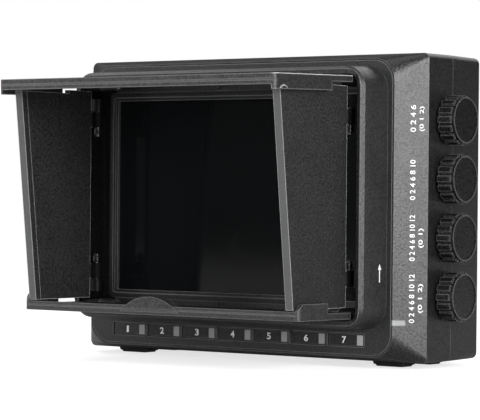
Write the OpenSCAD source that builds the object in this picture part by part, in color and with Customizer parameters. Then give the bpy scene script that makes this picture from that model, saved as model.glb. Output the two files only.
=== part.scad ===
// Camera field monitor with a folding sun hood. All sizes in millimetres.
// The front faces -Y, the knobs stand on the +X side, +Z is up and z = 0 is the plane under the feet.

/* [Case] */
// Width of the case at its widest edge, knobs left out
body_w = 162.6; // [150:0.2:190]
// Height of the case without its feet
body_h = 116; // [108:0.5:130]
// Depth of the case from the front bezel to the rear face
body_d = 47.5; // [44:0.5:60]
// Depth of the flared side chamfer behind the bezel
flare_d = 10.4; // [6:0.1:12]
// Distance from the bezel to the joint between front and rear housing
split_y = 27.2; // [26.9:0.1:30]
// Wall thickness of the housings
wall = 2.5; // [2:0.1:3]
// Height of the feet
foot_h = 2.1; // [1.5:0.1:5]

/* [Screen] */
// Visible width of the screen
screen_w = 120.6; // [115:0.1:122]
// Visible height of the screen
screen_h = 75.4; // [70:0.1:77]

/* [Keys] */
// Distance between neighbouring keys
key_pitch = 17.45; // [17:0.05:18]
// Width of one key
key_w = 15.8; // [14:0.1:16]
// Height of one key
key_h = 4.4; // [3.8:0.1:4.8]
// Travel of a key
key_travel = 0.6; // [0.3:0.1:0.8]

/* [Knobs] */
// Diameter of a knob over its ribs
knob_d = 18.9; // [15:0.1:20]
// Space between neighbouring knobs
knob_space = 3.2; // [2:0.1:5]
// How far a knob stands out of the case
knob_reach = 8.1; // [6:0.1:12]
// Travel of a knob when it is pushed
knob_travel = 0.8; // [0.4:0.1:1]

/* [Hood] */
// Depth of the hood frame in front of the bezel
frame_d = 16; // [15:0.1:20]
// Reach of the top panel in front of the bezel
top_reach = 65.7; // [58:0.1:75]
// Reach of the bottom panel in front of the bezel
bottom_reach = 49.8; // [46:0.1:56]
// Thickness of the hood panels and flaps
panel_t = 2.4; // [2:0.1:2.8]
// Slope of the two hood panels in degrees
panel_tilt = 1.2; // [0:0.1:2]

/* [Sub-part] */
// Sub-part to build, or all of them

/* [Hidden] */
$fn = 64;
eps = 0.01;
zc = foot_h + body_h / 2;
knob_pitch = knob_d + knob_space;
fit = 0.05;
gap = 0.35;
corner_r = 2.5;
inner_r = 1.5;
rim_w = body_w - 17.2;
rim_h = body_h - 3.9;
rim_r = 9;
rim_t = 0.8;
bezel_t = 2.5;
bezel_w = rim_w - 2 * rim_t;
bezel_h = rim_h - 2 * rim_t;
bezel_r = rim_r - rim_t;
front_wall = 2.5;
inner_w = body_w - 2 * wall;
inner_h = body_h - 2 * wall;
inner_y = bezel_t + front_wall;
rear_bevel = 0.8;

// The screen sits higher than the middle of the case, above the row of keys.
screen_z = zc + 3.8;
step_edge = 1.4;
ledge_edge = 3.2;
window_w = screen_w + 6.8;
window_h = screen_h + 5.8;
window_t = 2;
lcd_t = 5;
lcd_y = inner_y + 0.3;
chassis_t = 1.2;
chassis_y = lcd_y + lcd_t + 0.2;
board_t = 1.6;
board_y = chassis_y + 8;

key_count = 7;
key_x0 = -52.7;
key_z = foot_h + 8.2;
key_front = 0.35;
key_flange = 1;
key_slot_w = key_w + 0.8;
key_slot_h = key_h + 0.6;
key_row_w = key_count * key_pitch + 2;
light_w = 2.7;
switch_gap = 0.1;
key_board_y = bezel_t + 7;

side_x = body_w / 2;
knob_y = 23.9;
knob_count = 4;
knob_r = knob_d / 2;
rib_h = 0.75;
rib_w = 2.2;
rib_count = 16;
face_shoulder = 1.3;
face_rim = 0.5;
shaft_r = 2.6;
shaft_hole_r = 2.9;
encoder_x = side_x - wall - 7.6;

frame_w = 140;
frame_h = body_h - 17.8;
frame_r = 9;
frame_z = zc + 3.8;
frame_wall = 2.6;
hood_inner_w = frame_w - 2 - 2 * frame_wall - 0.2;
hood_inner_h = frame_h - 1.4 - 2 * frame_wall;
hinge_r = 2;
pin_r = 0.9;
hinge_y = 4 - frame_d;
top_z = frame_z + hood_inner_h / 2 - 2.5;
bottom_z = frame_z - hood_inner_h / 2 + 2.7;
panel_w = hood_inner_w - 2.4;
skirt_t = 1.7;
lip_t = 3;
flap_side_gap = 0.9;
flap_x = panel_w / 2 - skirt_t - flap_side_gap;
flap_hinge_x = flap_x - 1.9;
flap_hinge_y = hinge_y + 0.6;
flap_top = top_z - 2.1;
flap_top_low = top_z - 3.4;
flap_bottom = bottom_z + 2.4;
flap_top_reach = top_reach - 6.8;
flap_bottom_reach = bottom_reach - 0.3;
flap_edge = 3.3;
slide_gap = 0.3;
panel_top = 1.7;
hood_travel = 3;

low_x = -body_w / 2;
high_x = side_x + knob_reach;
mid_x = (low_x + high_x) / 2;
top_front = hinge_y - (top_reach + hinge_y) * cos(panel_tilt) - panel_top * sin(panel_tilt);
mid_y = (body_d + top_front) / 2;

// A plate with round corners that stands across the Y axis, from y to y + t, centred on height z.
module plate(w, h, r, y, t, z = zc) {
    translate([0, y + t, z])
        rotate([90, 0, 0])
            linear_extrude(t)
                round_rect(w, h, r);
}

module round_rect(w, h, r) {
    square([w - 2 * r, h], center = true);
    square([w, h - 2 * r], center = true);
    for (sx = [-1, 1])
        for (sz = [-1, 1])
            translate([sx * (w / 2 - r), sz * (h / 2 - r)])
                circle(r);
}

module block(x0, x1, y0, y1, z0, z1) {
    translate([x0, y0, z0])
        cube([x1 - x0, y1 - y0, z1 - z0]);
}

// A cylinder along Y that starts at y.
module rod_y(x, z, y, r, l) {
    translate([x, y, z])
        rotate([-90, 0, 0])
            cylinder(h = l, r = r);
}

// A cylinder along X that starts at x.
module rod_x(x, y, z, r, l) {
    translate([x, y, z])
        rotate([0, 90, 0])
            cylinder(h = l, r = r);
}

module rod_z(x, y, z, r, l) {
    translate([x, y, z])
        cylinder(h = l, r = r);
}

function key_x(i) = key_x0 + (i - 1) * key_pitch;
function knob_z(i) = zc + (2.5 - i) * knob_pitch;

boss_x = side_x - wall - 5;
boss_r = 3.6;
knob_board_reach = 9;
// The lower screws keep clear of the board behind the knobs.
boss_z = [knob_z(knob_count) - knob_board_reach - 0.25 - boss_r, zc + body_h / 2 - 7.5];
screw_r = 1.4;

module at_bosses() {
    for (sx = [-1, 1])
        for (z = boss_z)
            translate([sx * boss_x, 0, z])
                children();
}

insert_y = 17.6;
insert_r = 4.4;
insert_l = 9;
thread_r = 2.55;

module front_housing() {
    color([0.16, 0.16, 0.165])
    difference() {
        union() {
            difference() {
                union() {
                    hull() {
                        plate(rim_w, rim_h, rim_r, 0, eps);
                        plate(body_w, body_h, corner_r, flare_d - eps, eps);
                    }
                    plate(body_w, body_h, corner_r, flare_d - eps, split_y - flare_d + eps);
                }
                plate(inner_w, inner_h, inner_r, flare_d + 0.6, split_y);
                plate(rim_w - 3, inner_h - 1, rim_r, inner_y, flare_d);
            }
            // Screw bosses, the tripod boss and the pocket that holds the light pipe.
            at_bosses()
                rod_y(0, 0, flare_d, boss_r, split_y - flare_d - 4);
            for (sx = [-1, 1])
                for (z = boss_z)
                    block(sx * boss_x - 1, sx * boss_x + 1, flare_d, split_y - 6,
                        z > zc ? z : foot_h + 1, z > zc ? foot_h + body_h - 1 : z);
            rod_z(0, insert_y, foot_h + 1, insert_r + 2, insert_l);
        }
        // Recess for the bezel, the screen opening and the slot behind the keys.
        plate(bezel_w + 2 * gap, bezel_h + 2 * gap, bezel_r + gap, -1, bezel_t + 1);
        plate(window_w + 0.5, window_h + 0.5, 1, 0, flare_d, screen_z);
        block(-key_row_w / 2, key_row_w / 2, 0, flare_d, key_z - key_slot_h / 2 - 1, key_z + key_slot_h / 2 + 1);
        at_bosses()
            rod_y(0, 0, flare_d + 2, screw_r, split_y);
        rod_z(0, insert_y, foot_h - 1, insert_r, insert_l + 0.2);
        for (i = [1:knob_count])
            rod_x(side_x - wall - 1, knob_y, knob_z(i), shaft_hole_r, wall + 2);
        light_shape(0.15);
        foot_places()
            block(-foot_w / 2 + 1.5, foot_w / 2 - 1.5, 1.5, foot_l - 1.5, foot_h - 1, foot_h + 0.8);
    }
}

pipe_x = rim_w / 2 - 0.4;
pipe_l = 3.1;
pipe_z = zc - 42.7;
pipe_h = 2;
flare_slope = flare_d / (side_x - rim_w / 2);

// The light pipe lies flush in the start of the flare.
module light_shape(c) {
    front = c > 0 ? -1 : 0;
    translate([0, 0, pipe_z - pipe_h / 2 - c])
        linear_extrude(pipe_h + 2 * c)
            polygon([
                [pipe_x - c, front], [rim_w / 2, front], [rim_w / 2 + pipe_l + c, pipe_l * flare_slope + front],
                [rim_w / 2 + pipe_l + c, pipe_l * flare_slope + 2 + 2 * c], [rim_w / 2, 4.4 + c], [pipe_x - c, 4.4 + c]
            ]);
}

module power_light_pipe() {
    color([0.72, 0.73, 0.72])
        light_shape(0);
}

screw_seat = body_d - 8;
vent_count = 9;
bay_w = 74;
bay_h = 17;
bay_d = 3;
bay_z = zc - body_h / 2 + 19;
// The main board reaches from the sockets to above the middle of the screen.
board_low = bay_z - 6.2;
board_top = screen_z + 39;
hdmi_x = [-24, -3];
dc_x = 26;
phone_x = 14;

module rear_housing() {
    color([0.13, 0.13, 0.135])
    difference() {
        union() {
            difference() {
                hull() {
                    plate(body_w, body_h, corner_r, split_y, eps);
                    plate(body_w - 0.6, body_h - 0.6, corner_r, body_d - rear_bevel, eps);
                    plate(body_w - 0.6 - 2 * rear_bevel, body_h - 0.6 - 2 * rear_bevel, corner_r - 1,
                        body_d - eps, eps);
                }
                plate(inner_w - 0.6, inner_h - 0.6, inner_r, split_y - 1, body_d - split_y - wall + 1);
            }
            at_bosses()
                rod_y(0, 0, split_y - 4 + gap, boss_r, body_d - split_y + 2);
            // Walls of the socket bay.
            plate(bay_w + 4, bay_h + 4, 3, body_d - bay_d - 2, bay_d + 0.5, bay_z);
        }
        plate(bay_w, bay_h, 2, body_d - bay_d, bay_d + 1, bay_z);
        at_bosses() {
            rod_y(0, 0, 0, screw_r + 0.3, body_d + 1);
            rod_y(0, 0, screw_seat, 3.1, 9);
        }
        for (k = [0:vent_count - 1])
            plate(84, 2.4, 1.1, body_d - wall - 1, wall + 2, zc + 8 + k * 4.6);
        for (x = hdmi_x)
            block(x - 8, x + 8, body_d - bay_d - 3, body_d, bay_z - 3.4, bay_z + 3.4);
        rod_y(dc_x, bay_z, body_d - bay_d - 3, 4.9, 6);
        rod_y(phone_x, bay_z, body_d - bay_d - 3, 3.4, 6);
    }
}

module case_screws() {
    color([0.5, 0.5, 0.52])
    at_bosses()
        difference() {
            union() {
                rod_y(0, 0, screw_seat, 2.8, 2.2);
                rod_y(0, 0, flare_d + 4, screw_r - 0.02, screw_seat - flare_d - 4);
            }
            for (a = [0, 90])
                rotate([0, a, 0])
                    block(-1.6, 1.6, screw_seat + 1.2, screw_seat + 3, -0.35, 0.35);
        }
}

module front_bezel() {
    color([0.15, 0.15, 0.155])
    difference() {
        plate(bezel_w, bezel_h, bezel_r, 0, bezel_t);
        plate(screen_w + 2 * step_edge, screen_h + 2 * step_edge, 1.2, -1, 2.4, screen_z);
        plate(screen_w + 0.2, screen_h + 0.2, 0.5, -1, bezel_t + 2, screen_z);
        for (i = [1:key_count])
            plate_at(key_x(i), key_z, key_slot_w, key_slot_h, 0.4, -1, bezel_t + 2);
        // Hooks of the hood frame slide in these four slots.
        for (sx = [-1, 1])
            for (z = hook_z)
                block(sx * hook_x - 1.2, sx * hook_x + 1.2, -1, bezel_t - 0.5, z - 3.4, z + 3.2 + hood_travel);
    }
}

module plate_at(x, z, w, h, r, y, t) {
    translate([x, 0, 0])
        plate(w, h, r, y, t, z);
}

module lcd_window() {
    color([0.02, 0.02, 0.025])
        plate(window_w, window_h, 0.8, bezel_t + 0.05, window_t, screen_z);
}

module lcd_panel() {
    color([0.06, 0.06, 0.08])
    difference() {
        plate(screen_w + 9, screen_h + 9, 1, lcd_y, lcd_t, screen_z);
        plate(screen_w, screen_h, 0.5, lcd_y - 1, 1.3, screen_z);
        for (sx = [-1, 1])
            block(sx * (screen_w / 2 + 2) - 4, sx * (screen_w / 2 + 2) + 4, lcd_y + lcd_t - 1.2, lcd_y + lcd_t + 1,
                screen_z - 22, screen_z + 22);
    }
}

module lcd_chassis() {
    color([0.6, 0.6, 0.6])
    difference() {
        union() {
            plate(screen_w + 12, screen_h + 12, 2, chassis_y, chassis_t, screen_z);
            for (sx = [-1, 1])
                for (sz = [-1, 1])
                    rod_y(sx * 50, screen_z + sz * 32, chassis_y + chassis_t - eps, 2.6,
                        board_y - chassis_y - chassis_t);
        }
        for (sx = [-1, 0, 1])
            plate_at(sx * 30, screen_z, 20, 46, 3, chassis_y - 1, chassis_t + 2);
        for (sx = [-1, 1])
            for (sz = [-1, 1])
                rod_y(sx * 50, screen_z + sz * 32, chassis_y + 2, 1.2, 12);
    }
}

module main_board() {
    color([0.05, 0.28, 0.16])
    difference() {
        union() {
            plate(118, board_top - board_low, 2, board_y, board_t, (board_top + board_low) / 2);
            plate_at(-14, screen_z + 8, 22, 22, 0.6, board_y + board_t - eps, 2.2);
            plate_at(20, screen_z + 10, 14, 14, 0.6, board_y + board_t - eps, 1.8);
            plate_at(42, screen_z + 12, 9, 16, 0.6, board_y + board_t - eps, 4);
            for (k = [0:3])
                rod_y(-48 + k * 9, screen_z - 20, board_y + board_t - eps, 3, 6);
            plate_at(46, screen_z - 18, 12, 12, 1, board_y + board_t - eps, 5);
            // Stems that carry the sockets at the rear.
            for (x = hdmi_x)
                block(x - 6, x + 6, board_y + board_t - eps, socket_y, bay_z - 1.5, bay_z + 1.5);
            block(phone_x - 2, phone_x + 2, board_y + board_t - eps, socket_y, bay_z - 1.5, bay_z + 1.5);
            block(dc_x - 3, dc_x + 3, board_y + board_t - eps, socket_y, bay_z - 1.5, bay_z + 1.5);
        }
        for (sx = [-1, 1])
            for (sz = [-1, 1])
                rod_y(sx * 50, screen_z + sz * 32, board_y - 1, 1.3, board_t + 2);
    }
}

socket_y = body_d - bay_d - 12;

module hdmi_sockets() {
    color([0.7, 0.7, 0.72])
    for (x = hdmi_x)
        difference() {
            block(x - 7.6, x + 7.6, socket_y, body_d - bay_d + 0.4, bay_z - 3, bay_z + 3);
            block(x - 7, x + 7, socket_y + 1, body_d, bay_z - 1, bay_z + 2.4);
            block(x - 5.6, x + 5.6, socket_y + 1, body_d, bay_z - 2.4, bay_z + 2.4);
        }
}

module dc_socket() {
    color([0.08, 0.08, 0.08])
    union() {
        difference() {
            union() {
                block(dc_x - 4.6, dc_x + 4.6, socket_y, body_d - bay_d - 2.2, bay_z - 5, bay_z + 5);
                rod_y(dc_x, bay_z, socket_y, 4.6, 12.5);
            }
            rod_y(dc_x, bay_z, socket_y + 2, 2.9, 12);
        }
        rod_y(dc_x, bay_z, socket_y + 1, 1, 10);
    }
}

module phone_socket() {
    color([0.08, 0.08, 0.08])
    difference() {
        union() {
            block(phone_x - 3.1, phone_x + 3.1, socket_y, body_d - bay_d - 2.2, bay_z - 4, bay_z + 4);
            rod_y(phone_x, bay_z, socket_y, 3.1, 12.4);
        }
        rod_y(phone_x, bay_z, socket_y + 1.5, 1.8, 12);
    }
}

module key_board() {
    color([0.05, 0.28, 0.16])
        block(-key_row_w / 2 + 1, key_row_w / 2 - 1, key_board_y, key_board_y + board_t,
            key_z - 4.2, key_z + 4.6);
}

module key_switches() {
    color([0.2, 0.2, 0.2])
    for (i = [1:key_count])
        union() {
            block(key_x(i) - 3, key_x(i) + 3, key_board_y - 2.2, key_board_y, key_z - 2.6, key_z + 2.6);
            rod_y(key_x(i), key_z, key_front + key_depth + key_travel + switch_gap, 1.2, 3);
        }
}

key_depth = 3.6;

module key_cap(i) {
    color([0.12, 0.12, 0.125])
    difference() {
        union() {
            plate_at(key_x(i), key_z, key_w, key_h, 0.3, key_front, key_depth - key_flange + eps);
            plate_at(key_x(i), key_z, key_w + 1, key_h + 1.2, 0.4, bezel_t + 0.1, key_flange);
        }
        block(key_x(i) + key_w / 2 - light_w - 0.4, key_x(i) + key_w / 2 - 0.4,
            key_front - 1, key_front + 1.5, key_z - key_h / 2 + 0.3, key_z + key_h / 2 - 0.3);
    }
}

module key_light(i) {
    color([0.5, 0.51, 0.51])
        block(key_x(i) + key_w / 2 - light_w - 0.4, key_x(i) + key_w / 2 - 0.4,
            key_front - 0.05, key_front + 1.5, key_z - key_h / 2 + 0.3, key_z + key_h / 2 - 0.3);
}

module knob_board() {
    color([0.05, 0.28, 0.16])
    difference() {
        block(encoder_x - board_t, encoder_x, knob_y - 7.5, knob_y + 7.5,
            knob_z(knob_count) - knob_board_reach, knob_z(1) + knob_board_reach);
        for (i = [1:knob_count])
            rod_x(encoder_x - 3, knob_y, knob_z(i), 1.6, 5);
    }
}

// Round bodies of the encoders, open in the middle for the rotor, each with a bush through the case wall.
module encoder_bodies() {
    color([0.62, 0.62, 0.64])
    for (i = [1:knob_count])
        difference() {
            union() {
                block(encoder_x, encoder_x + 6, knob_y - 6, knob_y + 6, knob_z(i) - 6, knob_z(i) + 6);
            }
            rod_x(encoder_x + 1.4, knob_y, knob_z(i), 4.8, 3.2);
            rod_x(encoder_x + 1, knob_y, knob_z(i), shaft_r + 0.2, 7);
        }
}

// The flat on the shaft faces the rear.
module shaft_section(c) {
    difference() {
        circle(shaft_r + c);
        translate([shaft_r - 0.8 + c, -shaft_r])
            square([2, 2 * shaft_r]);
    }
}

module encoder_rotor(i) {
    color([0.85, 0.85, 0.82])
    translate([encoder_x + 1.6, knob_y, knob_z(i)])
        rotate([0, 90, 0])
            linear_extrude(2.8)
                difference() {
                    circle(4.8 - fit);
                    shaft_section(fit);
                }
}

module knob_shaft(i) {
    color([0.6, 0.6, 0.62])
    translate([encoder_x + 1.6 + knob_travel, knob_y, knob_z(i)])
        rotate([0, 90, 0])
            linear_extrude(side_x + knob_reach - 2 - encoder_x - 1.6 - knob_travel)
                shaft_section(0);
}

module knob_section() {
    circle(knob_r - rib_h);
    for (k = [0:rib_count - 1])
        rotate(k * 360 / rib_count)
            intersection() {
                circle(knob_r);
                translate([0, -rib_w / 2])
                    square([knob_r + 1, rib_w]);
            }
}

module knob(i) {
    back = side_x + knob_travel + 0.5;
    color([0.07, 0.07, 0.07])
    translate([0, knob_y, knob_z(i)])
        difference() {
            union() {
                translate([back, 0, 0])
                    rotate([0, 90, 0])
                        linear_extrude(knob_reach - knob_travel - 0.5 - face_shoulder)
                            knob_section();
                rod_x(back, 0, 0, knob_r - rib_h, knob_reach - knob_travel - 0.5);
            }
            rod_x(side_x + knob_reach - 0.4, 0, 0, knob_r - rib_h - face_rim, 1);
            translate([back - 1, 0, 0])
                rotate([0, 90, 0])
                    linear_extrude(side_x + knob_reach - 2 - back + 1)
                        shaft_section(0);
            difference() {
                rod_x(back - 1, 0, 0, knob_r - rib_h - 1.2, 4);
                rod_x(back - 2, 0, 0, 4.6, 6);
            }
        }
}

foot_w = 13.6;
foot_l = 9;
foot_x = 62;
foot_front = 13.5;
foot_rear = body_d - 14;

module foot_places() {
    for (sx = [-1, 1])
        translate([sx * foot_x, foot_front, 0])
            children();
}

module feet() {
    color([0.05, 0.05, 0.05])
    for (sx = [-1, 1])
        for (y = [foot_front, foot_rear])
            translate([sx * foot_x, y, 0])
                difference() {
                    rotate([90, 0, 90])
                        translate([0, 0, -foot_w / 2])
                            linear_extrude(foot_w)
                                polygon([
                                    [1.2, 0], [foot_l - 1.2, 0], [foot_l, foot_h], [0, foot_h]
                                ]);
                    for (s = [-1, 1])
                        translate([s * foot_w / 2, -1, 0])
                            rotate([0, s * 30, 0])
                                block(-1, 1, 0, foot_l + 2, -3, 0.6);
                }
}

module tripod_insert() {
    color([0.78, 0.62, 0.3])
    difference() {
        union() {
            rod_z(0, insert_y, foot_h, insert_r, insert_l - 0.8);
            rod_z(0, insert_y, foot_h + 2, insert_r - 0.4, 2);
        }
        rod_z(0, insert_y, foot_h - 1, thread_r, insert_l + 1);
    }
}

hook_x = frame_w / 2 - 4.2;
hook_z = [frame_z - 30, frame_z + 30];
latch_z = screen_h / 2 + ledge_edge + 1.4;

module hood_frame() {
    color([0.15, 0.15, 0.155])
    difference() {
        union() {
            difference() {
                hull() {
                    plate(frame_w, frame_h, frame_r, -eps - 0.1, eps, frame_z);
                    plate(frame_w - 0.6, frame_h - 0.6, frame_r - 0.3, -frame_d + 5, eps, frame_z);
                    plate(frame_w - 1.4, frame_h - 1, frame_r - 0.7, -frame_d + 1.6, eps, frame_z);
                    plate(frame_w - 3.6, frame_h - 3.2, frame_r - 1.8, -frame_d, eps, frame_z);
                }
                plate(hood_inner_w, hood_inner_h, 4, -frame_d - 1, frame_d - 2, frame_z);
                plate(screen_w + 2 * ledge_edge, screen_h + 2 * ledge_edge, 2, -4, 5, screen_z);
                // Sunk inner part of the front edge, which leaves a narrow crest round it.
                plate(hood_inner_w + 3.2, hood_inner_h + 3.2, 5.6, -frame_d - 1, 1.6, frame_z);
            }
            // Lugs for the panel pins and the flap pins.
            for (sx = [-1, 1])
                mirror([sx < 0 ? 1 : 0, 0, 0]) {
                    for (z = [top_z, bottom_z])
                        hull_free_lug(lug_x, z);
                    for (z = [flap_lug_top, flap_lug_bottom]) {
                        rod_z(flap_hinge_x, flap_hinge_y, z, hinge_r, lug_h);
                        block(flap_hinge_x, hood_inner_w / 2 + 1, flap_hinge_y - hinge_r, flap_hinge_y + hinge_r,
                            z, z + lug_h);
                    }
                }
            for (sx = [-1, 1])
                for (z = hook_z) {
                    block(sx * hook_x - 0.9, sx * hook_x + 0.9, -1, bezel_t - 0.8, z - 3, z + 3);
                }
        }
        for (sx = [-1, 1])
            mirror([sx < 0 ? 1 : 0, 0, 0]) {
                for (z = [top_z, bottom_z])
                    rod_x(lug_x - 1, hinge_y, z, pin_r, lug_w + 1);
                for (z = [flap_lug_top, flap_lug_bottom])
                    rod_z(flap_hinge_x, flap_hinge_y, z - 1, pin_r, lug_h + 2);
            }
        // Latch slots in the inner ledge above and below the screen.
        for (sz = [-1, 1])
            block(-6, -2, -4, -2.6, screen_z + sz * latch_z - 0.7, screen_z + sz * latch_z + 0.7);
    }
}

lug_x = flap_hinge_x - 2.6;
lug_w = hood_inner_w / 2 - lug_x + 1;
lug_h = 5;
flap_lug_top = top_z - 10.1;
flap_lug_bottom = flap_bottom + 2.4;

// A lug that reaches from the side wall of the frame to the end of a panel pin.
module hull_free_lug(x, z) {
    rod_x(x, hinge_y, z, hinge_r, lug_w);
    block(x, x + lug_w, hinge_y, -3.5, z - hinge_r, z + hinge_r);
}

knuckle_w = 8;
knuckle_x = lug_x - knuckle_w - slide_gap;

module panel_knuckles(dir) {
    for (sx = [-1, 1])
        mirror([sx < 0 ? 1 : 0, 0, 0])
            difference() {
                union() {
                    rod_x(knuckle_x, 0, 0, hinge_r, knuckle_w);
                    block(knuckle_x, knuckle_x + knuckle_w, -5, 0, dir > 0 ? -0.7 : -1.7, dir > 0 ? 1.7 : 0.7);
                }
                rod_x(knuckle_x - 1, 0, 0, pin_r + fit, knuckle_w + 2);
            }
}

// A hood panel, drawn around its hinge axis. dir is 1 for the top panel and -1 for the bottom one.
// skirt is the outline of the wall at each side.
module panel_body(reach, lip_up, lip_down, skirt, dir) {
    t0 = dir > 0 ? 1.7 - panel_t : -1.7;
    front = -reach;
    union() {
        panel_knuckles(dir);
        difference() {
            block(-panel_w / 2, panel_w / 2, front, -3.4, t0, t0 + panel_t);
            for (sx = [-1, 1])
                block(sx * (panel_w / 2) - 8.4, sx * (panel_w / 2) + 8.4, -4.6, 0, -3, 3);
        }
        block(-panel_w / 2, panel_w / 2, front, front + lip_t, lip_down, lip_up);
        for (sx = [-1, 1])
            translate([sx > 0 ? panel_w / 2 - skirt_t : -panel_w / 2, 0, 0])
                rotate([90, 0, 90])
                    linear_extrude(skirt_t)
                        polygon(skirt);
    }
}

module hood_top_panel() {
    front = -top_reach - hinge_y;
    color([0.17, 0.17, 0.175])
    translate([0, hinge_y, top_z])
        rotate([panel_tilt, 0, 0])
            difference() {
                union() {
                    panel_body(-front, panel_top, -2.3, [
                        [front, -4], [front + skirt_end_top, -4], [front + skirt_end_top, panel_top],
                        [front, panel_top]
                    ], 1);
                    // Half-round grip on the outer face of each skirt.
                    for (sx = [-1, 1])
                        mirror([sx < 0 ? 1 : 0, 0, 0])
                            intersection() {
                                rod_x(panel_w / 2 - 1, front + 5.2, grip_z - grip_r, grip_r, 1 + grip_proud);
                                block(0, panel_w, front, front + 12, -4, 0);
                            }
                }
                // Line along the lip.
                block(-panel_w / 2 - 1, panel_w / 2 + 1, front - 1, front + 0.35, -0.75, -0.25);
                corner_cut(front, 1);
                corner_cut(front, -1);
            }
}

skirt_end_top = 35.8;
grip_r = 2.5;
grip_z = -2.6;
grip_proud = 0.5;

// Rounds the vertical edge at one end of a lip.
module corner_cut(front, s) {
    r = 2.4;
    difference() {
        block(s > 0 ? panel_w / 2 - r : -panel_w / 2 - 1, s > 0 ? panel_w / 2 + 1 : r - panel_w / 2,
            front - 1, front + r, -9, 9);
        rod_z(s * (panel_w / 2 - r), front + r, -10, r, 20);
    }
}

tab_x = -3;
tab_z = -14.4;
tab_r = 19.5;

module hood_bottom_panel() {
    front = -bottom_reach - hinge_y;
    color([0.17, 0.17, 0.175])
    translate([0, hinge_y, bottom_z])
        rotate([-panel_tilt / 3, 0, 0])
            difference() {
                union() {
                    panel_body(-front, 1.7, -1.7, [
                        [front, -1.7], [front + 18.5, -1.7], [front + 18.5, 4.4], [front + 2.6, 4.4], [front, 1.7]
                    ], -1);
                    // Arc-shaped finger tab on the lip, slightly proud of it.
                    intersection() {
                        rod_y(tab_x, tab_z, front - 0.5, tab_r, lip_t + 0.5);
                        block(tab_x - tab_r, tab_x + tab_r, front - 1, front + 4, -0.6, 9);
                    }
                }
                block(-panel_w / 2 - 1, panel_w / 2 + 1, front - 1, front + 0.35, 0.1, 0.5);
                corner_cut(front, 1);
                corner_cut(front, -1);
            }
}

// Right flap; the left one is its mirror image.
module flap() {
    x0 = flap_x - panel_t;
    edge = flap_edge;
    rear = -frame_d - 0.1;
    // The flap is lower under the skirt of the top panel and reaches higher behind it.
    step = skirt_end_top - top_reach + 0.4;
    union() {
        translate([x0, 0, 0])
            rotate([90, 0, 90])
                linear_extrude(panel_t)
                    polygon([
                        [-flap_top_reach, flap_top_low], [step, flap_top_low], [step, flap_top],
                        [rear, flap_top], [rear, flap_bottom], [-flap_bottom_reach, flap_bottom]
                    ]);
        // Thick front edge.
        translate([flap_x - edge, 0, 0])
            rotate([90, 0, 90])
                linear_extrude(edge)
                    polygon([
                        [-flap_top_reach, flap_top_low], [-flap_top_reach + 3, flap_top_low],
                        [-flap_bottom_reach + 3, flap_bottom], [-flap_bottom_reach, flap_bottom]
                    ]);
        for (z = [flap_lug_top - slide_gap - flap_knuckle_h, flap_lug_bottom + lug_h + slide_gap])
            difference() {
                union() {
                    rod_z(flap_hinge_x, flap_hinge_y, z, hinge_r, flap_knuckle_h);
                    block(x0, flap_hinge_x + hinge_r - 0.1, rear - 1, flap_hinge_y, z, z + flap_knuckle_h);
                }
                rod_z(flap_hinge_x, flap_hinge_y, z - 1, pin_r + fit, flap_knuckle_h + 2);
            }
    }
}

flap_knuckle_h = 6;

module hood_right_flap() {
    color([0.16, 0.16, 0.165])
        flap();
}

module hood_left_flap() {
    color([0.16, 0.16, 0.165])
        mirror([1, 0, 0])
            flap();
}

module panel_pins() {
    color([0.75, 0.75, 0.76])
    for (sx = [-1, 1])
        mirror([sx < 0 ? 1 : 0, 0, 0])
            for (z = [top_z, bottom_z])
                rod_x(knuckle_x + 1, hinge_y, z, pin_r, knuckle_w + lug_w - 2);
}

module flap_pins() {
    color([0.75, 0.75, 0.76])
    for (sx = [-1, 1])
        mirror([sx < 0 ? 1 : 0, 0, 0]) {
            rod_z(flap_hinge_x, flap_hinge_y, flap_lug_top - flap_knuckle_h - coil_h - 0.8, pin_r, flap_pin_l);
            rod_z(flap_hinge_x, flap_hinge_y, flap_lug_bottom + 0.2, pin_r, flap_pin_l);
        }
}

coil_h = 3;
wire_r = 0.25;
coil_r = 1.35;
flap_pin_l = flap_knuckle_h + coil_h + lug_h + 0.6;

// Torsion springs around the ends of the flap pins, each with a leg against the frame.
module flap_springs() {
    color([0.7, 0.7, 0.7])
    for (sx = [-1, 1])
        mirror([sx < 0 ? 1 : 0, 0, 0])
            for (z = [
                flap_lug_top - slide_gap - flap_knuckle_h - coil_h,
                flap_lug_bottom + lug_h + flap_knuckle_h + 0.6
            ])
                translate([flap_hinge_x, flap_hinge_y, z + 0.4])
                    union() {
                        rotate_extrude()
                            for (k = [0:4])
                                translate([coil_r, k * wire_r * 1.9])
                                    circle(wire_r, $fn = 16);
                        rod_x(0, coil_r, 0, wire_r, hood_inner_w / 2 - flap_hinge_x);
                    }
}

// Moves the drawing so that the origin is under the middle of the whole object.
module placed() {
    translate([-mid_x, -mid_y, 0])
        children();
}

module key_1() {
    key_cap(1);
}
module key_2() {
    key_cap(2);
}
module key_3() {
    key_cap(3);
}
module key_4() {
    key_cap(4);
}
module key_5() {
    key_cap(5);
}
module key_6() {
    key_cap(6);
}
module key_7() {
    key_cap(7);
}
module key_light_1() {
    key_light(1);
}
module key_light_2() {
    key_light(2);
}
module key_light_3() {
    key_light(3);
}
module key_light_4() {
    key_light(4);
}
module key_light_5() {
    key_light(5);
}
module key_light_6() {
    key_light(6);
}
module key_light_7() {
    key_light(7);
}
module knob_1() {
    knob(1);
}
module knob_2() {
    knob(2);
}
module knob_3() {
    knob(3);
}
module knob_4() {
    knob(4);
}
module knob_shaft_1() {
    knob_shaft(1);
}
module knob_shaft_2() {
    knob_shaft(2);
}
module knob_shaft_3() {
    knob_shaft(3);
}
module knob_shaft_4() {
    knob_shaft(4);
}
module encoder_rotor_1() {
    encoder_rotor(1);
}
module encoder_rotor_2() {
    encoder_rotor(2);
}
module encoder_rotor_3() {
    encoder_rotor(3);
}
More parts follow.
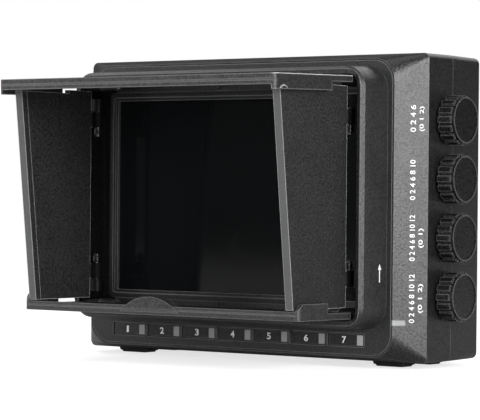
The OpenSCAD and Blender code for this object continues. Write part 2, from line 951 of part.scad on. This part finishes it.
module encoder_rotor_4() {
    encoder_rotor(4);
}

placed() front_housing();
placed() rear_housing();
placed() front_bezel();
placed() lcd_window();
placed() lcd_panel();
placed() lcd_chassis();
placed() main_board();
placed() key_board();
placed() key_switches();
placed() knob_board();
placed() encoder_bodies();
placed() power_light_pipe();
placed() case_screws();
placed() feet();
placed() tripod_insert();
placed() hdmi_sockets();
placed() dc_socket();
placed() phone_socket();
placed() hood_frame();
placed() flap_springs();
placed() hood_top_panel();
placed() hood_bottom_panel();
placed() hood_left_flap();
placed() hood_right_flap();
placed() panel_pins();
placed() flap_pins();
placed() key_1();
placed() key_2();
placed() key_3();
placed() key_4();
placed() key_5();
placed() key_6();
placed() key_7();
placed() key_light_1();
placed() key_light_2();
placed() key_light_3();
placed() key_light_4();
placed() key_light_5();
placed() key_light_6();
placed() key_light_7();
placed() knob_1();
placed() knob_2();
placed() knob_3();
placed() knob_4();
placed() knob_shaft_1();
placed() knob_shaft_2();
placed() knob_shaft_3();
placed() knob_shaft_4();
placed() encoder_rotor_1();
placed() encoder_rotor_2();
placed() encoder_rotor_3();
placed() encoder_rotor_4();
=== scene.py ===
"""Looks of a camera field monitor with sun hood: materials, printed marks, light and camera."""

import math

import bpy
from mathutils import Matrix, Vector


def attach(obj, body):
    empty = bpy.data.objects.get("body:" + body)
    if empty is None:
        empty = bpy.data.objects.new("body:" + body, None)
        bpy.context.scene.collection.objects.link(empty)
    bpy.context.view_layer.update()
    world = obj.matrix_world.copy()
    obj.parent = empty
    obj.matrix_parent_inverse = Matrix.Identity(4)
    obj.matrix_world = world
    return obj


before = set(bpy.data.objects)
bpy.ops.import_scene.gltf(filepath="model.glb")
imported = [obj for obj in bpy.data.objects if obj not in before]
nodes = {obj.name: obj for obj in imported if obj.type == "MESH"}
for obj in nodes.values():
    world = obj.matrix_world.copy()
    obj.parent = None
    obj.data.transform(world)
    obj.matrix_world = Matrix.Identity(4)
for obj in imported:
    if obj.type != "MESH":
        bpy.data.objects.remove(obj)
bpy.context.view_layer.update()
MM = 0.001
CASE_SHIFT = Vector((-4.05, 9.112, 0))  # the middle of the case's front plane in the frame, in mm
MID_Z = 60.1  # height of the middle of the case
HOOD_Z = 63.9  # height of the middle of the hood

# Where the lugs of the flap hinges lie from the middle of the hood, in mm, which get painted
# shade: each limit with its soft edge.
LUG_NEAR, LUG_FAR = (57.8, 58.0), (66.4, 66.7)
LUG_DEPTH, LUG_HEIGHT = (15.3, 15.7), (45.3, 45.5)
# Painted shade on these lugs, as shares of their tone and sheen:
PAINTED_SHADE_TONE, PAINTED_SHADE_SHEEN = 0.3, 0.25  # what they keep of the tone and sheen elsewhere

# Noise in moulded plastic, in features per metre: grain, pits, patches of gloss, clouds of tone.
GRAIN, PITS, PATCHES, CLOUDS = 2200, 1300, 180, 60


def node_material(name, build):
    """A new material; build(tree, shader) fills in its nodes."""
    mat = bpy.data.materials.new(name)
    mat.use_nodes = True
    tree = mat.node_tree
    build(tree, tree.nodes["Principled BSDF"])
    return mat


def object_coords(tree, scale, squeeze=(1, 1, 1)):
    """Object coordinates in units of 1 / scale metres, finer by squeeze along each axis."""
    coords = tree.nodes.new("ShaderNodeTexCoord")
    mapping = tree.nodes.new("ShaderNodeMapping")
    mapping.inputs["Scale"].default_value = tuple(scale * s for s in squeeze)
    tree.links.new(coords.outputs["Object"], mapping.inputs["Vector"])
    return mapping.outputs["Vector"]


def noise(tree, scale, detail=3.0, rough=0.5, squeeze=(1, 1, 1)):
    """Noise with features of about 1 / scale metres."""
    tex = tree.nodes.new("ShaderNodeTexNoise")
    tex.inputs["Scale"].default_value = 1.0
    tex.inputs["Detail"].default_value = detail
    tex.inputs["Roughness"].default_value = rough
    tree.links.new(object_coords(tree, scale, squeeze), tex.inputs["Vector"])
    return tex.outputs["Fac"]


def remap(tree, value, low, high, from_low=0.3, from_high=0.7):
    """Scales a value to low..high."""
    ramp = tree.nodes.new("ShaderNodeMapRange")
    ramp.inputs["From Min"].default_value = from_low
    ramp.inputs["From Max"].default_value = from_high
    ramp.inputs["To Min"].default_value = low
    ramp.inputs["To Max"].default_value = high
    tree.links.new(value, ramp.inputs["Value"])
    return ramp.outputs["Result"]


def mix_colors(tree, factor, a, b):
    """A colour between a and b; each is a colour or a socket."""
    mix = tree.nodes.new("ShaderNodeMix")
    mix.data_type = "RGBA"
    tree.links.new(factor, mix.inputs["Factor"])
    for value, socket in ((a, mix.inputs["A"]), (b, mix.inputs["B"])):
        if isinstance(value, bpy.types.NodeSocket):
            tree.links.new(value, socket)
        else:
            socket.default_value = (*value, 1.0)
    return mix.outputs["Result"]


def grey(value, tint=0.0):
    """A grey, slightly blue for a positive tint."""
    return (value * (1 - tint), value, value * (1 + tint))


def forward_mask(tree):
    """1 on faces that look forwards, where light is painted, 0 elsewhere."""
    coords = tree.nodes.new("ShaderNodeTexCoord")
    parts = tree.nodes.new("ShaderNodeSeparateXYZ")
    tree.links.new(coords.outputs["Normal"], parts.inputs[0])
    return remap(tree, parts.outputs["Y"], 0, 1, -0.55, -0.9)


def math_node(tree, operation, *values):
    """The result of a math node; each value is a number or a socket."""
    node = tree.nodes.new("ShaderNodeMath")
    node.operation = operation
    for value, socket in zip(values, node.inputs):
        if isinstance(value, bpy.types.NodeSocket):
            tree.links.new(value, socket)
        else:
            socket.default_value = value
    return node.outputs[0]


def edge_mask(tree, radius):
    """1 on the outer edges of a part, 0 on its faces and in its inner corners; radius in mm.

    These are the edges that get a painted highlight. The second value is 1 where such an edge
    also looks towards +Z and +X, which gets a brighter painted highlight as if lit from there.
    """
    soft = tree.nodes.new("ShaderNodeBevel")
    soft.samples = 6
    soft.inputs["Radius"].default_value = radius * MM
    shape = tree.nodes.new("ShaderNodeNewGeometry")
    dot = tree.nodes.new("ShaderNodeVectorMath")
    dot.operation = "DOT_PRODUCT"
    tree.links.new(soft.outputs[0], dot.inputs[0])
    tree.links.new(shape.outputs["Normal"], dot.inputs[1])
    turned = remap(tree, dot.outputs["Value"], 1, 0, 0.88, 0.99)
    parts = tree.nodes.new("ShaderNodeSeparateXYZ")
    tree.links.new(soft.outputs[0], parts.inputs[0])
    upward = remap(tree, parts.outputs["Z"], 0, 1, 0.08, 0.35)
    rightward = remap(tree, parts.outputs["X"], 0, 1, 0.2, 0.5)
    outer = remap(tree, shape.outputs["Pointiness"], 0, 1, 0.485, 0.505)
    mask = math_node(tree, "MULTIPLY", turned, outer)
    return mask, math_node(tree, "MULTIPLY", upward, rightward)


def hinge_mask(tree, obj):
    """1 on the lugs beside the flap hinges inside the hood, where shade is painted, 0 elsewhere.
    """
    coords = tree.nodes.new("ShaderNodeTexCoord")
    shift = tree.nodes.new("ShaderNodeVectorMath")
    tree.links.new(coords.outputs["Object"], shift.inputs[0])
    middle = (CASE_SHIFT + Vector((0, 0, HOOD_Z))) * MM
    shift.inputs[1].default_value = obj.matrix_world.translation - middle
    size = tree.nodes.new("ShaderNodeVectorMath")
    size.operation = "ABSOLUTE"
    tree.links.new(shift.outputs[0], size.inputs[0])
    parts = tree.nodes.new("ShaderNodeSeparateXYZ")
    tree.links.new(size.outputs[0], parts.inputs[0])
    inner = remap(tree, parts.outputs["X"], 0, 1, *(v * MM for v in LUG_NEAR))
    outer = remap(tree, parts.outputs["X"], 1, 0, *(v * MM for v in LUG_FAR))
    deep = remap(tree, parts.outputs["Y"], 1, 0, *(v * MM for v in LUG_DEPTH))
    level = remap(tree, parts.outputs["Z"], 1, 0, *(v * MM for v in LUG_HEIGHT))
    beside = math_node(tree, "MULTIPLY", inner, outer)
    return math_node(tree, "MULTIPLY", beside, math_node(tree, "MULTIPLY", deep, level))


def moulded(name, color, rough=0.5, grain=0.3, spread=0.18, edge_highlight=0.1, specular=0.5, mottle=0.3,
            front=1.0, crest_highlight=0.0, reach=0.5, painted_shade_on=None):
    """Textured moulded plastic with fine grain, a mottled tone and edges lightened by a painted
    highlight.

    grain is the strength of the texture; spread and mottle are the variation of its tone. front
    lightens the faces that look forwards with painted light. edge_highlight is the tone of a
    painted highlight on the edges over a reach in mm, and crest_highlight that of the upper right
    ones. painted_shade_on is an object whose hinge lugs get painted shade.
    """

    def build(tree, shader):
        fine = noise(tree, GRAIN, 4.0, 0.6)
        coarse = noise(tree, PITS, 1.0, 0.6)
        cloud = noise(tree, CLOUDS, 3.0)
        light = tuple(c * (1 + spread) for c in color)
        dark = tuple(c * (1 - spread) for c in color)
        base = mix_colors(tree, remap(tree, cloud, 0, 1), dark, light)
        pit = tuple(c * 0.35 for c in color)
        base = mix_colors(tree, remap(tree, coarse, mottle, 0.0, 0.34, 0.56), base, pit)
        speck = tuple(c * 2.6 + 0.004 for c in color)
        base = mix_colors(tree, remap(tree, fine, 0.0, 0.2 + mottle, 0.5, 0.72), base, speck)
        # Painted light: the faces that look forwards are lightened by front.
        if front > 1:
            painted_front_light = tuple(c * front for c in color)
            base = mix_colors(tree, forward_mask(tree), base, painted_front_light)
        # Painted highlight: the outer edges take a lighter tone, the upper right ones a brighter
        # one.
        if edge_highlight > 0:
            rim, upper = edge_mask(tree, reach)
            highlight_tone = mix_colors(tree, upper, grey(edge_highlight), grey(max(edge_highlight, crest_highlight)))
            base = mix_colors(tree, rim, base, highlight_tone)
        sheen = remap(tree, coarse, specular * 0.65, specular * 1.35, 0.35, 0.65)
        # Painted shade: the hinge lugs are darkened and lose sheen.
        if painted_shade_on:
            shade = hinge_mask(tree, painted_shade_on)
            base = mix_colors(tree, shade, base, tuple(c * PAINTED_SHADE_TONE for c in color))
            kept = remap(tree, shade, 1, PAINTED_SHADE_SHEEN, 0, 1)
            sheen = math_node(tree, "MULTIPLY", sheen, kept)
        tree.links.new(sheen, shader.inputs["Specular IOR Level"])
        tree.links.new(base, shader.inputs["Base Color"])
        patch = noise(tree, PATCHES, 4.0)
        uneven = math_node(tree, "MULTIPLY_ADD", patch, 0.35, remap(tree, coarse, 0, 0.65))
        uneven = remap(tree, uneven, rough - 0.09, rough + 0.09, 0.1, 0.9)
        tree.links.new(uneven, shader.inputs["Roughness"])
        bump = tree.nodes.new("ShaderNodeBump")
        bump.inputs["Strength"].default_value = grain
        bump.inputs["Distance"].default_value = 0.0001
        tree.links.new(math_node(tree, "ADD", coarse, fine), bump.inputs["Height"])
        tree.links.new(bump.outputs["Normal"], shader.inputs["Normal"])

    return node_material(name, build)


def metal(name, color, rough=0.3, squeeze=(1, 1, 1)):
    """Turned or drawn metal with fine streaks."""

    def build(tree, shader):
        streaks = noise(tree, 1500, 2.0, squeeze=squeeze)
        dark = tuple(c * 0.8 for c in color)
        tree.links.new(mix_colors(tree, streaks, dark, color), shader.inputs["Base Color"])
        tree.links.new(remap(tree, streaks, rough - 0.08, rough + 0.1), shader.inputs["Roughness"])
        shader.inputs["Metallic"].default_value = 1.0

    return node_material(name, build)


def glossy(name, color, rough, specular=0.5):
    """Polished plastic or glass-like pane with a trace of dust and smears."""

    def build(tree, shader):
        smear = noise(tree, 90, 5.0, 0.7)
        dust = noise(tree, 5200, 2.0)
        dusty = tuple(c * 2 + 0.006 for c in color)
        base = mix_colors(tree, remap(tree, dust, 0, 0.25, 0.62, 0.8), color, dusty)
        tree.links.new(base, shader.inputs["Base Color"])
        tree.links.new(remap(tree, smear, rough * 0.7, rough * 1.6), shader.inputs["Roughness"])
        shader.inputs["Specular IOR Level"].default_value = specular

    return node_material(name, build)


def board(name):
    """Solder-masked circuit board with faint tracks."""

    def build(tree, shader):
        tracks = tree.nodes.new("ShaderNodeTexBrick")
        tracks.inputs["Scale"].default_value = 1.0
        tracks.inputs["Color1"].default_value = (0.01, 0.09, 0.045, 1)
        tracks.inputs["Color2"].default_value = (0.012, 0.11, 0.055, 1)
        tracks.inputs["Mortar"].default_value = (0.02, 0.16, 0.08, 1)
        tree.links.new(object_coords(tree, 400), tracks.inputs["Vector"])
        tree.links.new(tracks.outputs["Color"], shader.inputs["Base Color"])
        tree.links.new(remap(tree, noise(tree, 500), 0.25, 0.4), shader.inputs["Roughness"])

    return node_material(name, build)


case_mat = moulded("case_plastic", grey(0.006, 0.02), rough=0.38, grain=0.6, edge_highlight=0.07,
                   specular=0.46, mottle=0.4)
bezel_mat = moulded("bezel_plastic", grey(0.018, 0.02), rough=0.46, grain=0.35, edge_highlight=0.2,
                    specular=0.3)
HOOD_LOOK = {"color": grey(0.014, 0.01), "rough": 0.42, "grain": 0.6, "edge_highlight": 0.12,
             "specular": 0.42, "mottle": 0.5}
hood_mat = moulded("hood_plastic", **HOOD_LOOK)
# The top panel's upper right edges get a brighter painted highlight.
top_mat = moulded("top_panel_plastic", **HOOD_LOOK, crest_highlight=0.5, reach=0.8)
# The frame's hinge lugs get painted shade.
frame_mat = moulded("frame_plastic", **HOOD_LOOK, painted_shade_on=nodes["hood_frame"])
# The flaps' forward faces get painted light, and their hinge lugs painted shade.
flap_mats = [
    moulded(f"flap_plastic_{side}", grey(0.013, 0.01), rough=0.55, grain=0.9, edge_highlight=0.3,
            specular=0.25, mottle=0.9, front=6.0, painted_shade_on=nodes[f"hood_{side}_flap"])
    for side in ("left", "right")
]
key_mat = moulded("key_plastic", grey(0.011, 0.01), rough=0.4, grain=0.1, specular=0.3, mottle=0.1)
knob_mat = moulded("knob_plastic", grey(0.004, 0.01), rough=0.3, grain=0.1, specular=0.35,
                   mottle=0.02)
socket_mat = moulded("socket_plastic", grey(0.012), rough=0.4, grain=0.1)
rubber_mat = moulded("foot_rubber", grey(0.012), rough=0.75, grain=0.5)
screen_mat = glossy("screen_pane", grey(0.006, 0.1), rough=0.07, specular=0.2)
light_mat = glossy("light_strip", grey(0.3), rough=0.45)
pipe_mat = glossy("light_pipe", grey(0.2, 0.01), rough=0.35)
steel_mat = metal("steel", (0.55, 0.55, 0.56), 0.28)
black_steel_mat = metal("blackened_steel", (0.07, 0.07, 0.072), 0.3)
brass_mat = metal("brass_thread", (0.62, 0.45, 0.2), 0.3, (1, 1, 6))
board_mat = board("circuit_board")
PRINT_LOOK = {"rough": 0.5, "grain": 0.1, "spread": 0.04, "edge_highlight": 0, "mottle": 0.05}
print_mat = moulded("white_print", grey(0.62), **PRINT_LOOK)
key_print_mat = moulded("key_print", grey(0.75), **PRINT_LOOK)

finishes = {
    "front_housing": case_mat,
    "rear_housing": case_mat,
    "front_bezel": bezel_mat,
    "lcd_window": screen_mat,
    "lcd_panel": socket_mat,
    "lcd_chassis": steel_mat,
    "main_board": board_mat,
    "key_board": board_mat,
    "knob_board": board_mat,
    "key_switches": socket_mat,
    "encoder_bodies": steel_mat,
    "power_light_pipe": pipe_mat,
    "case_screws": steel_mat,
    "feet": rubber_mat,
    "tripod_insert": brass_mat,
    "hdmi_sockets": steel_mat,
    "dc_socket": socket_mat,
    "phone_socket": socket_mat,
    "hood_frame": frame_mat,
    "hood_top_panel": top_mat,
    "hood_bottom_panel": hood_mat,
    "hood_left_flap": flap_mats[0],
    "hood_right_flap": flap_mats[1],
    "panel_pins": black_steel_mat,
    "flap_pins": black_steel_mat,
    "flap_springs": black_steel_mat,
}
for i in range(1, 8):
    finishes[f"key_{i}"] = key_mat
    finishes[f"key_light_{i}"] = light_mat
for i in range(1, 5):
    finishes[f"knob_{i}"] = knob_mat
    finishes[f"knob_shaft_{i}"] = steel_mat
    finishes[f"encoder_rotor_{i}"] = socket_mat

# Radius in millimetres of the moulded edges of each visible node.
edge_radius = {
    "front_housing": 0.35,
    "rear_housing": 0.35,
    "front_bezel": 0.3,
    "hood_frame": 0.3,
    "hood_top_panel": 0.45,
    "hood_bottom_panel": 0.4,
    "hood_left_flap": 0.35,
    "hood_right_flap": 0.35,
    "feet": 0.3,
    "lcd_window": 0.2,
}
for i in range(1, 8):
    edge_radius[f"key_{i}"] = 0.2
for i in range(1, 5):
    edge_radius[f"knob_{i}"] = 0.22


def round_edges(obj, width):
    """Rounds the sharp edges of a CAD node with a modifier."""
    bevel = obj.modifiers.new("edge", "BEVEL")
    bevel.width = width * MM
    bevel.segments = 3
    bevel.limit_method = "ANGLE"
    bevel.angle_limit = math.radians(32)
    bevel.harden_normals = True
    bevel.use_clamp_overlap = True


for name, obj in nodes.items():
    obj.data.materials.clear()
    obj.data.materials.append(finishes[name])
    if name in edge_radius:
        round_edges(obj, edge_radius[name])


# ---- printed marks ----

PRINT_LIFT = 0.03  # mm by which the marks stand off their surface


def flat_mesh(name, points, faces, origin, right, up):
    """A flat mesh drawn in mm on the plane of right and up, a hair above it."""
    right, up = Vector(right).normalized(), Vector(up).normalized()
    out = right.cross(up)
    at = Vector(origin) + CASE_SHIFT + out * PRINT_LIFT
    mesh = bpy.data.meshes.new(name)
    mesh.from_pydata([(at + right * u + up * v) * MM for u, v in points], [], faces)
    obj = bpy.data.objects.new(name, mesh)
    bpy.context.collection.objects.link(obj)
    return obj


def lettering(name, text, size, origin, right, up, bold):
    """Digits and signs, scaled to size = (length, height) in mm about their middle."""
    curve = bpy.data.curves.new(name, "FONT")
    curve.body = text
    curve.offset = bold
    draft = bpy.data.objects.new(name + "_draft", curve)
    bpy.context.collection.objects.link(draft)
    bpy.context.view_layer.update()
    graph = bpy.context.evaluated_depsgraph_get()
    shape = bpy.data.meshes.new_from_object(draft.evaluated_get(graph))
    bpy.data.objects.remove(draft)
    xs = [v.co.x for v in shape.vertices]
    ys = [v.co.y for v in shape.vertices]
    grow_x = size[0] / (max(xs) - min(xs))
    grow_y = size[1] / (max(ys) - min(ys))
    middle_x, middle_y = (max(xs) + min(xs)) / 2, (max(ys) + min(ys)) / 2
    points = [((x - middle_x) * grow_x, (y - middle_y) * grow_y) for x, y in zip(xs, ys)]
    faces = [tuple(face.vertices) for face in shape.polygons]
    bpy.data.meshes.remove(shape)
    return flat_mesh(name, points, faces, origin, right, up)


def finish_mark(obj, mat, body):
    """Gives a mark its material and lets it ride on a body."""
    obj.data.materials.append(mat)
    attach(obj, body)


# Numerals on the keys, in place of words; each stands left of the middle, beside the light strip.
KEY_X0, KEY_PITCH, KEY_Z, KEY_FRONT = -52.7, 17.45, MID_Z - 49.8, 0.35
NUMERAL_LEFT, NUMERAL_W, ONE_W, NUMERAL_H = 1.1, 1.9, 1.1, 2.6
for i in range(1, 8):
    x = KEY_X0 + (i - 1) * KEY_PITCH - NUMERAL_LEFT
    size = (NUMERAL_W if i > 1 else ONE_W, NUMERAL_H)
    mark = lettering(f"key_numeral_{i}", str(i), size, (x, KEY_FRONT, KEY_Z), (1, 0, 0), (0, 0, 1),
                     0.025)
    finish_mark(mark, key_print_mat, f"button_{i}")

# Scales on the flare beside the knobs, read from below: text, lowest and highest end from SCALE_Z,
# and the distance of their line up the flare.
RIM_X = 72.7  # where the flare starts
FLARE = Vector((8.6, 10.4, 0))  # the way it runs
SCALE_Z = MID_Z + 0.5
DIGIT_H = 2.1
LINE_1, LINE_2 = 7.4, 10.9
scales = [
    ("0 2 4 6", 27.9, 37.9, LINE_1), ("(0 1 2)", 28.2, 37.4, LINE_2),
    ("0 2 4 6 8 10", 2.6, 17.5, LINE_1),
    ("0 2 4 6 8 10 12", -20.1, -3.0, LINE_1), ("(0 1)", -15.2, -8.0, LINE_2),
    ("0 2 4 6 8 10 12", -43.2, -25.1, LINE_1), ("(0 1 2)", -39.5, -28.7, LINE_2),
]
for k, (text, low, high, along) in enumerate(scales):
    spot = Vector((RIM_X, 0, SCALE_Z + (low + high) / 2)) + FLARE.normalized() * along
    mark = lettering(f"flare_scale_{k + 1}", text, (high - low, DIGIT_H), spot, (0, 0, 1), -FLARE,
                     0.01)
    finish_mark(mark, print_mat, "case")

# Arrow on the outer side of the hood frame that shows which way it slides.
FRAME_LEAN = 0.3 / 10.9  # how far this side moves outwards over its depth
arrow = flat_mesh(
    "hood_arrow",
    [(-0.3, -3.4), (0.3, -3.4), (0.3, 1.2), (1.1, 1.2), (0, 3.4), (-1.1, 1.2), (-0.3, 1.2)],
    [(0, 1, 2, 6), (3, 4, 5, 6, 2)],
    (69.87, -4.7, MID_Z - 24.1), (FRAME_LEAN, 1, 0), (0, 0, 1))
finish_mark(arrow, print_mat, "hood")


# ---- floor, light and camera ----

WHITE_FROM, WHITE_BY = 0.25, 0.9  # metres from the object between which the floor turns white
AMBIENT = 0.12  # light from all round on the object


def floor_material():
    """Pale floor that is white to the camera away from the object and keeps its shadow near it."""
    mat = bpy.data.materials.new("floor_pale")
    mat.use_nodes = True
    tree = mat.node_tree
    tree.nodes.clear()
    link = tree.links.new
    out = tree.nodes.new("ShaderNodeOutputMaterial")
    plain = tree.nodes.new("ShaderNodeBsdfDiffuse")
    plain.inputs["Color"].default_value = (0.62, 0.62, 0.62, 1)
    seen = tree.nodes.new("ShaderNodeBsdfDiffuse")
    seen.inputs["Color"].default_value = (0.5, 0.5, 0.5, 1)
    glow = tree.nodes.new("ShaderNodeEmission")
    glow.inputs["Strength"].default_value = 0.72
    near = tree.nodes.new("ShaderNodeAddShader")
    link(seen.outputs[0], near.inputs[0])
    link(glow.outputs[0], near.inputs[1])
    white = tree.nodes.new("ShaderNodeEmission")
    coords = tree.nodes.new("ShaderNodeTexCoord")
    reach = tree.nodes.new("ShaderNodeVectorMath")
    reach.operation = "LENGTH"
    link(coords.outputs["Object"], reach.inputs[0])
    far = remap(tree, reach.outputs["Value"], 0, 1, WHITE_FROM, WHITE_BY)
    spread = tree.nodes.new("ShaderNodeMixShader")
    link(far, spread.inputs[0])
    link(near.outputs[0], spread.inputs[1])
    link(white.outputs[0], spread.inputs[2])
    path = tree.nodes.new("ShaderNodeLightPath")
    final = tree.nodes.new("ShaderNodeMixShader")
    link(path.outputs["Is Camera Ray"], final.inputs[0])
    link(plain.outputs[0], final.inputs[1])
    link(spread.outputs[0], final.inputs[2])
    link(final.outputs[0], out.inputs["Surface"])
    return mat


def direction(azimuth, elevation):
    """The unit vector towards an azimuth and elevation in degrees, counted as for the camera."""
    a, e = math.radians(azimuth), math.radians(elevation)
    return Vector((math.sin(a) * math.cos(e), -math.cos(a) * math.cos(e), math.sin(e)))


def area_light(name, azimuth, elevation, distance, size, power, target):
    """A softbox that shines on the target from an azimuth and elevation."""
    back = direction(azimuth, elevation)
    data = bpy.data.lights.new(name, "AREA")
    data.shape = "RECTANGLE"
    data.size, data.size_y = size
    data.energy = power
    obj = bpy.data.objects.new(name, data)
    obj.location = target + back * distance
    obj.rotation_euler = (-back).to_track_quat("-Z", "Y").to_euler()
    bpy.context.collection.objects.link(obj)


bpy.ops.mesh.primitive_plane_add(size=120, location=(0, 0, -0.0002))
floor = bpy.context.object
floor.name = "floor"
floor.data.materials.append(floor_material())

world = bpy.data.worlds.new("studio")
bpy.context.scene.world = world
world.use_nodes = True
wt = world.node_tree
background = wt.nodes["Background"]
path = wt.nodes.new("ShaderNodeLightPath")
straight = math_node(wt, "MAXIMUM", path.outputs["Is Camera Ray"],
                     path.outputs["Is Transmission Ray"])
level = wt.nodes.new("ShaderNodeMapRange")
level.inputs["To Min"].default_value = AMBIENT
level.inputs["To Max"].default_value = 1.0
wt.links.new(straight, level.inputs["Value"])
wt.links.new(level.outputs["Result"], background.inputs["Strength"])
background.inputs["Color"].default_value = (1, 1, 1, 1)

centre = Vector((0, 0, 0.06))
area_light("key", 65, 9, 1.2, (0.6, 0.9), 28, centre)
area_light("front", -8, 10, 1.4, (0.5, 0.8), 7, centre)
area_light("front_left", -60, 12, 1.4, (0.4, 0.8), 6.5, centre)
area_light("top", 10, 75, 1.3, (0.9, 0.7), 5, centre)
area_light("left_top", -88, 50, 1.4, (0.9, 0.6), 7, centre)
area_light("rim", 178, 38, 1.4, (1.1, 0.5), 4.5, centre)

# The camera of the photograph, solved from its edges: angles in degrees, sizes in mm.
CAM_AZ, CAM_EL, CAM_ROLL = 36.45, 0.38, 0.52
CAM_DISTANCE = 973.6
CAM_RIGHT, CAM_UP = 1.52, -1.5  # how far it stands beside the line through the middle of the case
FOCAL_PX, PICTURE_PX, SENSOR = 2505.9, 480, 36  # focal length and width in pixels, sensor in mm
origin = CASE_SHIFT + Vector((0, 0, MID_Z))
back = direction(CAM_AZ, CAM_EL)
right = Vector((math.cos(math.radians(CAM_AZ)), math.sin(math.radians(CAM_AZ)), 0))
up = back.cross(right)
place = (origin + back * CAM_DISTANCE + right * CAM_RIGHT + up * CAM_UP) * MM
roll = Matrix.Rotation(math.radians(CAM_ROLL), 3, back)
axes = Matrix((roll @ right, roll @ up, back)).transposed()
cam = bpy.data.objects.new("camera", bpy.data.cameras.new("camera"))
cam.data.sensor_width = SENSOR
cam.data.lens = FOCAL_PX * SENSOR / PICTURE_PX
cam.data.clip_start, cam.data.clip_end = 0.05, 20
cam.matrix_world = Matrix.Translation(place) @ axes.to_4x4()
bpy.context.collection.objects.link(cam)
bpy.context.scene.camera = cam
bpy.context.scene.view_settings.view_transform = "Standard"
